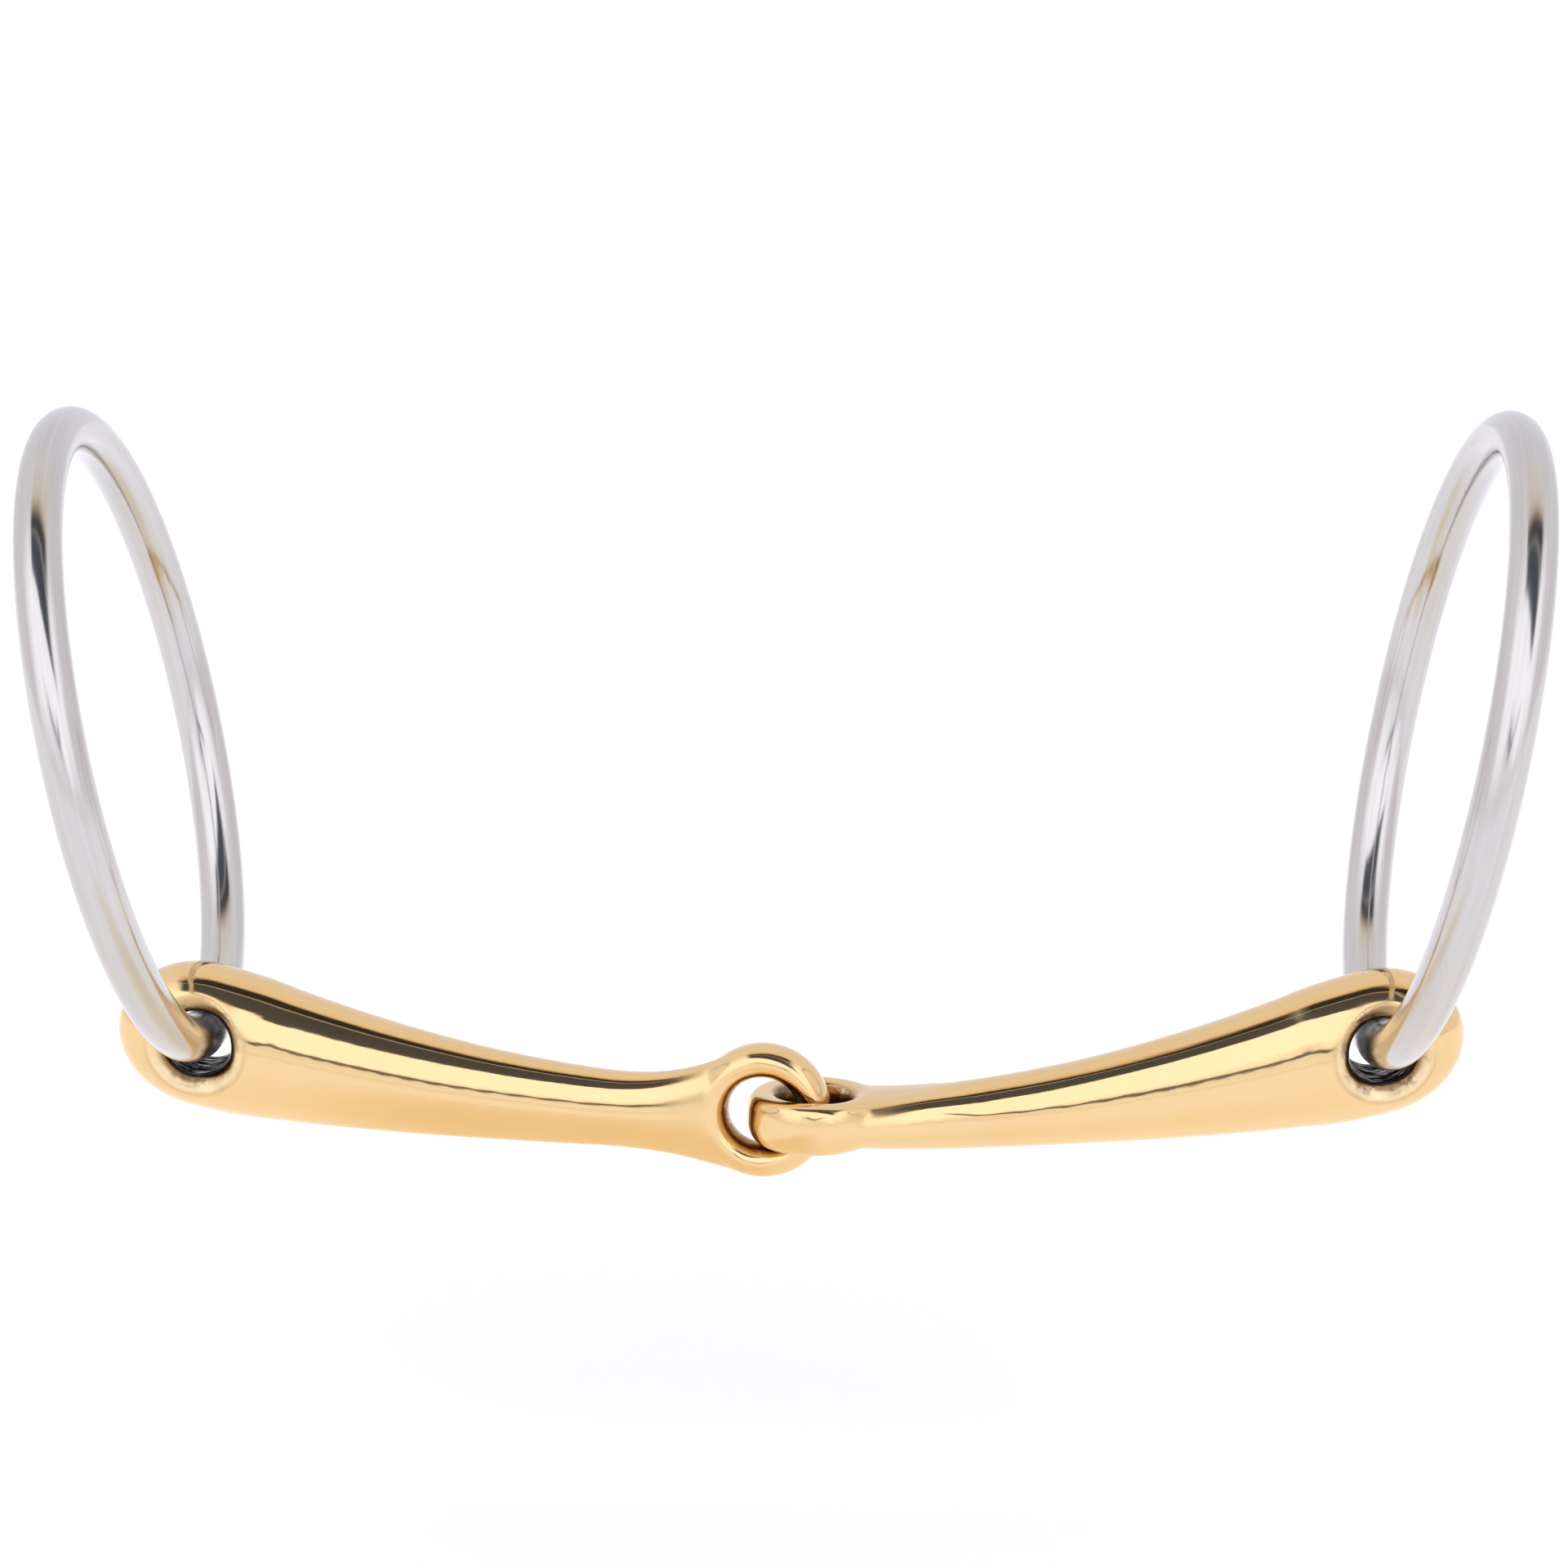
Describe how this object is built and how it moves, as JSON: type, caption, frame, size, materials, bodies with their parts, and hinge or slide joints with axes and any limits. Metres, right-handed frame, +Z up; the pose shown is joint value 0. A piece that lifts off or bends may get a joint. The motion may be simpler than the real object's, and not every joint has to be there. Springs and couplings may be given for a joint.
{
  "type": "snaffle bit",
  "caption": "Loose-ring snaffle bit with a single-jointed, tapered mouthpiece, round steel cheek rings and gold-coloured polished mouthpiece halves hooked together by eyes.",
  "frame": {"origin": "top of the left ring, inside, where the cheekpiece strap bears on it", "axes": "+Z up with the bit hanging, +X from the left ring to the right ring, -Y towards the viewer, where the bores open"},
  "size_m": [0.1806, 0.0814, 0.0943],
  "materials": {
    "ring_steel": "mirror-polished stainless steel",
    "mouthpiece_alloy": "mirror-polished gold-coloured alloy, duller in the bores"
  },
  "bodies": {
    "left_ring": {"left_ring": "ring_steel"},
    "left_mouthpiece": {"left_mouthpiece": "mouthpiece_alloy"},
    "right_mouthpiece": {"right_mouthpiece": "mouthpiece_alloy"},
    "right_ring": {"right_ring": "ring_steel"}
  },
  "joints": [
    {"name": "left_ring_turn", "type": "hinge", "parent": "left_ring", "child": "left_mouthpiece", "pos_m": [0.00703, -0.00018, -0.03429], "axis": [0.9792, -0.0256, 0.2011], "continuous": true},
    {"name": "mouthpiece_fold", "type": "hinge", "parent": "left_mouthpiece", "child": "right_mouthpiece", "pos_m": [0.09004, -0.00521, -0.08112], "axis": [0, 0, 1], "range_deg": [-123, 107]},
    {"name": "right_ring_turn", "type": "hinge", "parent": "right_mouthpiece", "child": "right_ring", "pos_m": [0.16669, -0.00018, -0.03508], "axis": [0.9792, 0.0256, -0.2011], "continuous": true}
  ]
}
